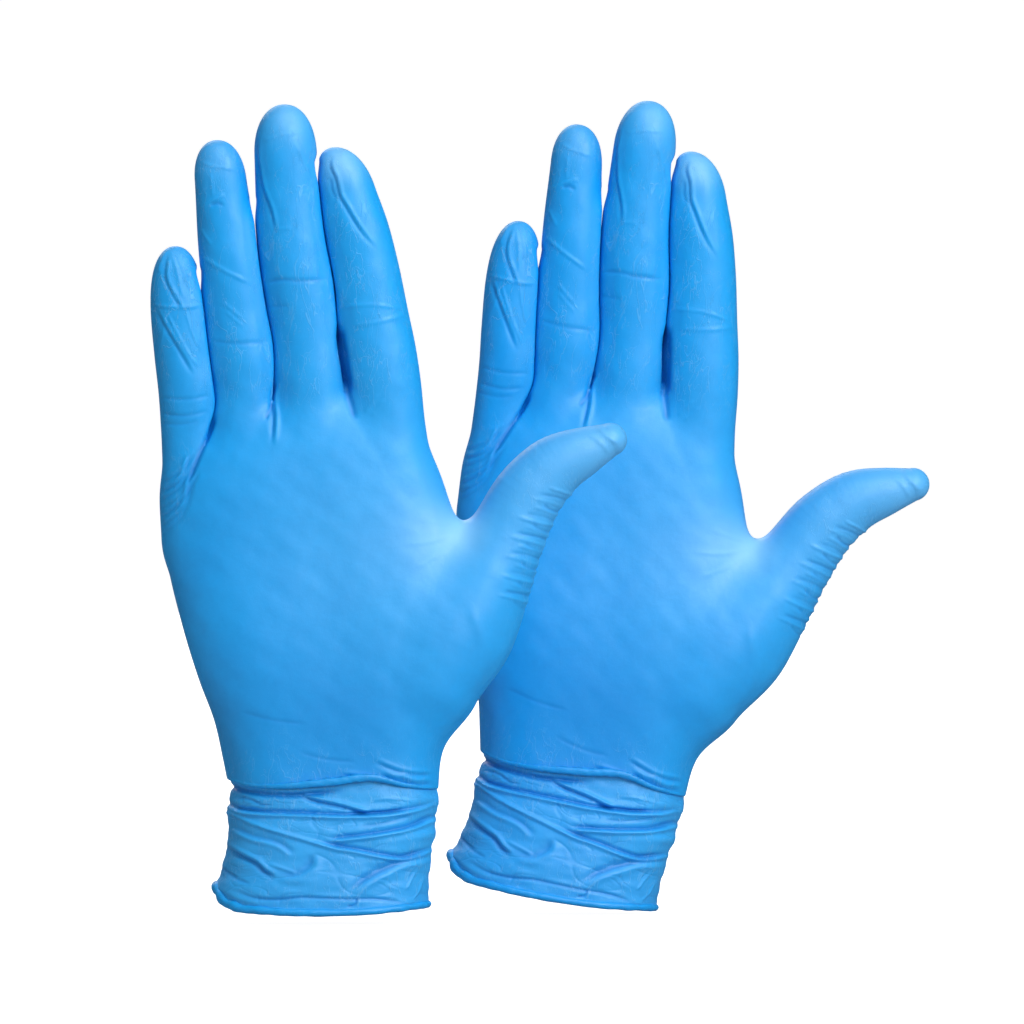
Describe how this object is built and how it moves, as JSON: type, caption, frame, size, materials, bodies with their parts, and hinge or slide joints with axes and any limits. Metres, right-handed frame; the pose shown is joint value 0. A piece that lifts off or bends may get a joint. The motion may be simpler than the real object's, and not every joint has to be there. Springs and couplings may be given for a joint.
{
  "type": "rubber gloves",
  "caption": "Thin blue disposable rubber gloves with beaded cuffs, filled out as if worn, palms forward, one behind the other, with fingers and thumbs that bend at their folds.",
  "frame": {"origin": "middle of the front glove's wrist opening, level with the lowest face of its bead", "axes": "+Z from the cuff towards the fingertips, +X towards the thumbs, -Y out of the palms"},
  "size_m": [0.2171, 0.1266, 0.2318],
  "materials": {
    "film": "satin",
    "bead": "satin"
  },
  "bodies": {
    "front_palm": {"front_bead": "bead", "front_cuff": "film", "front_palm": "film", "front_hand_back": "film", "front_root_folds": "film"},
    "front_little_base": {"front_little_base": "film", "front_little_middle_fold": "film"},
    "front_little_middle": {"front_little_middle": "film", "front_little_tip_fold": "film"},
    "front_little_tip": {"front_little_tip": "film"},
    "front_ring_base": {"front_ring_base": "film", "front_ring_middle_fold": "film"},
    "front_ring_middle": {"front_ring_middle": "film", "front_ring_tip_fold": "film"},
    "front_ring_tip": {"front_ring_tip": "film"},
    "front_middle_base": {"front_middle_base": "film", "front_middle_middle_fold": "film"},
    "front_middle_middle": {"front_middle_middle": "film", "front_middle_tip_fold": "film"},
    "front_middle_tip": {"front_middle_tip": "film"},
    "front_index_base": {"front_index_base": "film", "front_index_middle_fold": "film"},
    "front_index_middle": {"front_index_middle": "film", "front_index_tip_fold": "film"},
    "front_index_tip": {"front_index_tip": "film"},
    "front_thumb_base": {"front_thumb_base": "film", "front_thumb_tip_fold": "film"},
    "front_thumb_tip": {"front_thumb_tip": "film"},
    "rear_palm": {"rear_bead": "bead", "rear_cuff": "film", "rear_palm": "film", "rear_hand_back": "film", "rear_root_folds": "film"},
    "rear_little_base": {"rear_little_base": "film", "rear_little_middle_fold": "film"},
    "rear_little_middle": {"rear_little_middle": "film", "rear_little_tip_fold": "film"},
    "rear_little_tip": {"rear_little_tip": "film"},
    "rear_ring_base": {"rear_ring_base": "film", "rear_ring_middle_fold": "film"},
    "rear_ring_middle": {"rear_ring_middle": "film", "rear_ring_tip_fold": "film"},
    "rear_ring_tip": {"rear_ring_tip": "film"},
    "rear_middle_base": {"rear_middle_base": "film", "rear_middle_middle_fold": "film"},
    "rear_middle_middle": {"rear_middle_middle": "film", "rear_middle_tip_fold": "film"},
    "rear_middle_tip": {"rear_middle_tip": "film"},
    "rear_index_base": {"rear_index_base": "film", "rear_index_middle_fold": "film"},
    "rear_index_middle": {"rear_index_middle": "film", "rear_index_tip_fold": "film"},
    "rear_index_tip": {"rear_index_tip": "film"},
    "rear_thumb_base": {"rear_thumb_base": "film", "rear_thumb_tip_fold": "film"},
    "rear_thumb_tip": {"rear_thumb_tip": "film"}
  },
  "joints": [
    {"name": "front_little_root", "type": "hinge", "parent": "front_palm", "child": "front_little_base", "pos_m": [-0.03893, 0, 0.14], "axis": [0.9989, 0, 0.0469], "range_deg": [-10, 65], "stiffness_Nm_per_rad": 0.002, "deforming": ["front_root_folds"]},
    {"name": "front_little_middle", "type": "hinge", "parent": "front_little_base", "child": "front_little_middle", "pos_m": [-0.03966, 0, 0.1555], "axis": [0.9989, 0, 0.0469], "range_deg": [0, 85], "stiffness_Nm_per_rad": 0.002, "deforming": ["front_little_middle_fold"]},
    {"name": "front_little_tip", "type": "hinge", "parent": "front_little_middle", "child": "front_little_tip", "pos_m": [-0.04032, 0, 0.1695], "axis": [0.9989, 0, 0.0469], "range_deg": [0, 38.25], "stiffness_Nm_per_rad": 0.002, "deforming": ["front_little_tip_fold"]},
    {"name": "front_ring_root", "type": "hinge", "parent": "front_palm", "child": "front_ring_base", "pos_m": [-0.02361, 0, 0.154], "axis": [0.9958, 0, 0.0916], "range_deg": [-10, 65], "stiffness_Nm_per_rad": 0.002},
    {"name": "front_ring_middle", "type": "hinge", "parent": "front_ring_base", "child": "front_ring_middle", "pos_m": [-0.02527, 0, 0.172], "axis": [0.9958, 0, 0.0916], "range_deg": [0, 85], "stiffness_Nm_per_rad": 0.002, "deforming": ["front_ring_middle_fold"]},
    {"name": "front_ring_tip", "type": "hinge", "parent": "front_ring_middle", "child": "front_ring_tip", "pos_m": [-0.02692, 0, 0.19], "axis": [0.9958, 0, 0.0916], "range_deg": [0, 38.25], "stiffness_Nm_per_rad": 0.002, "deforming": ["front_ring_tip_fold"]},
    {"name": "front_middle_root", "type": "hinge", "parent": "front_palm", "child": "front_middle_base", "pos_m": [-0.00464, 0, 0.158], "axis": [0.9956, 0, 0.0932], "range_deg": [-10, 65], "stiffness_Nm_per_rad": 0.002},
    {"name": "front_middle_middle", "type": "hinge", "parent": "front_middle_base", "child": "front_middle_middle", "pos_m": [-0.00656, 0, 0.1785], "axis": [0.9956, 0, 0.0932], "range_deg": [0, 85], "stiffness_Nm_per_rad": 0.002, "deforming": ["front_middle_middle_fold"]},
    {"name": "front_middle_tip", "type": "hinge", "parent": "front_middle_middle", "child": "front_middle_tip", "pos_m": [-0.00858, 0, 0.2], "axis": [0.9956, 0, 0.0932], "range_deg": [0, 38.25], "stiffness_Nm_per_rad": 0.002, "deforming": ["front_middle_tip_fold"]},
    {"name": "front_index_root", "type": "hinge", "parent": "front_palm", "child": "front_index_base", "pos_m": [0.01558, 0, 0.1575], "axis": [0.9837, 0, 0.1797], "range_deg": [-10, 65], "stiffness_Nm_per_rad": 0.002},
    {"name": "front_index_middle", "type": "hinge", "parent": "front_index_base", "child": "front_index_middle", "pos_m": [0.01239, 0, 0.175], "axis": [0.9837, 0, 0.1797], "range_deg": [0, 85], "stiffness_Nm_per_rad": 0.002, "deforming": ["front_index_middle_fold"]},
    {"name": "front_index_tip", "type": "hinge", "parent": "front_index_middle", "child": "front_index_tip", "pos_m": [0.00947, 0, 0.191], "axis": [0.9837, 0, 0.1797], "range_deg": [0, 38.25], "stiffness_Nm_per_rad": 0.002, "deforming": ["front_index_tip_fold"]},
    {"name": "front_thumb_root", "type": "hinge", "parent": "front_palm", "child": "front_thumb_base", "pos_m": [0.0505, 0, 0.104], "axis": [0.839, 0, -0.5442], "range_deg": [-10, 45], "stiffness_Nm_per_rad": 0.002},
    {"name": "front_thumb_tip", "type": "hinge", "parent": "front_thumb_base", "child": "front_thumb_tip", "pos_m": [0.0625, 0, 0.1225], "axis": [0, -1, 0], "range_deg": [-5, 70], "stiffness_Nm_per_rad": 0.002, "deforming": ["front_thumb_tip_fold"]},
    {"name": "rear_little_root", "type": "hinge", "parent": "rear_palm", "child": "rear_little_base", "pos_m": [0.04952, 0.09, 0.14601], "axis": [0.9921, 0, -0.1255], "range_deg": [-10, 65], "stiffness_Nm_per_rad": 0.002, "deforming": ["rear_root_folds"]},
    {"name": "rear_little_middle", "type": "hinge", "parent": "rear_little_base", "child": "rear_little_middle", "pos_m": [0.05146, 0.09, 0.1614], "axis": [0.9921, 0, -0.1255], "range_deg": [0, 85], "stiffness_Nm_per_rad": 0.002, "deforming": ["rear_little_middle_fold"]},
    {"name": "rear_little_tip", "type": "hinge", "parent": "rear_little_middle", "child": "rear_little_tip", "pos_m": [0.05323, 0.09, 0.17531], "axis": [0.9921, 0, -0.1255], "range_deg": [0, 38.25], "stiffness_Nm_per_rad": 0.002, "deforming": ["rear_little_tip_fold"]},
    {"name": "rear_ring_root", "type": "hinge", "parent": "rear_palm", "child": "rear_ring_base", "pos_m": [0.06702, 0.09, 0.15717], "axis": [0.9967, 0, -0.081], "range_deg": [-10, 65], "stiffness_Nm_per_rad": 0.002},
    {"name": "rear_ring_middle", "type": "hinge", "parent": "rear_ring_base", "child": "rear_ring_middle", "pos_m": [0.06848, 0.09, 0.17518], "axis": [0.9967, 0, -0.081], "range_deg": [0, 85], "stiffness_Nm_per_rad": 0.002, "deforming": ["rear_ring_middle_fold"]},
    {"name": "rear_ring_tip", "type": "hinge", "parent": "rear_ring_middle", "child": "rear_ring_tip", "pos_m": [0.06994, 0.09, 0.1932], "axis": [0.9967, 0, -0.081], "range_deg": [0, 38.25], "stiffness_Nm_per_rad": 0.002, "deforming": ["rear_ring_tip_fold"]},
    {"name": "rear_middle_root", "type": "hinge", "parent": "rear_palm", "child": "rear_middle_base", "pos_m": [0.08639, 0.09, 0.15785], "axis": [0.9968, 0, -0.0793], "range_deg": [-10, 65], "stiffness_Nm_per_rad": 0.002},
    {"name": "rear_middle_middle", "type": "hinge", "parent": "rear_middle_base", "child": "rear_middle_middle", "pos_m": [0.08802, 0.09, 0.17837], "axis": [0.9968, 0, -0.0793], "range_deg": [0, 85], "stiffness_Nm_per_rad": 0.002, "deforming": ["rear_middle_middle_fold"]},
    {"name": "rear_middle_tip", "type": "hinge", "parent": "rear_middle_middle", "child": "rear_middle_tip", "pos_m": [0.08973, 0.09, 0.1999], "axis": [0.9968, 0, -0.0793], "range_deg": [0, 38.25], "stiffness_Nm_per_rad": 0.002, "deforming": ["rear_middle_tip_fold"]},
    {"name": "rear_index_root", "type": "hinge", "parent": "rear_palm", "child": "rear_index_base", "pos_m": [0.10623, 0.09, 0.15388], "axis": [1, 0, 0.0079], "range_deg": [-10, 65], "stiffness_Nm_per_rad": 0.002},
    {"name": "rear_index_middle", "type": "hinge", "parent": "rear_index_base", "child": "rear_index_middle", "pos_m": [0.10609, 0.09, 0.17166], "axis": [1, 0, 0.0079], "range_deg": [0, 85], "stiffness_Nm_per_rad": 0.002, "deforming": ["rear_index_middle_fold"]},
    {"name": "rear_index_tip", "type": "hinge", "parent": "rear_index_middle", "child": "rear_index_tip", "pos_m": [0.10596, 0.09, 0.18793], "axis": [1, 0, 0.0079], "range_deg": [0, 38.25], "stiffness_Nm_per_rad": 0.002, "deforming": ["rear_index_tip_fold"]},
    {"name": "rear_thumb_root", "type": "hinge", "parent": "rear_palm", "child": "rear_thumb_base", "pos_m": [0.13143, 0.09, 0.09517], "axis": [0.7329, 0, -0.6803], "range_deg": [-10, 45], "stiffness_Nm_per_rad": 0.002},
    {"name": "rear_thumb_tip", "type": "hinge", "parent": "rear_thumb_base", "child": "rear_thumb_tip", "pos_m": [0.14643, 0.09, 0.11133], "axis": [0, -1, 0], "range_deg": [-5, 70], "stiffness_Nm_per_rad": 0.002, "deforming": ["rear_thumb_tip_fold"]},
    {"name": "pair_spacing", "type": "slide", "parent": "front_palm", "child": "rear_palm", "axis": [0, 1, 0], "range_m": [0, 0.12]}
  ],
  "couplings": [
    {"joint": "front_little_tip", "follows": "front_little_middle", "ratio": 0.45},
    {"joint": "front_ring_tip", "follows": "front_ring_middle", "ratio": 0.45},
    {"joint": "front_middle_tip", "follows": "front_middle_middle", "ratio": 0.45},
    {"joint": "front_index_tip", "follows": "front_index_middle", "ratio": 0.45},
    {"joint": "rear_little_tip", "follows": "rear_little_middle", "ratio": 0.45},
    {"joint": "rear_ring_tip", "follows": "rear_ring_middle", "ratio": 0.45},
    {"joint": "rear_middle_tip", "follows": "rear_middle_middle", "ratio": 0.45},
    {"joint": "rear_index_tip", "follows": "rear_index_middle", "ratio": 0.45}
  ]
}
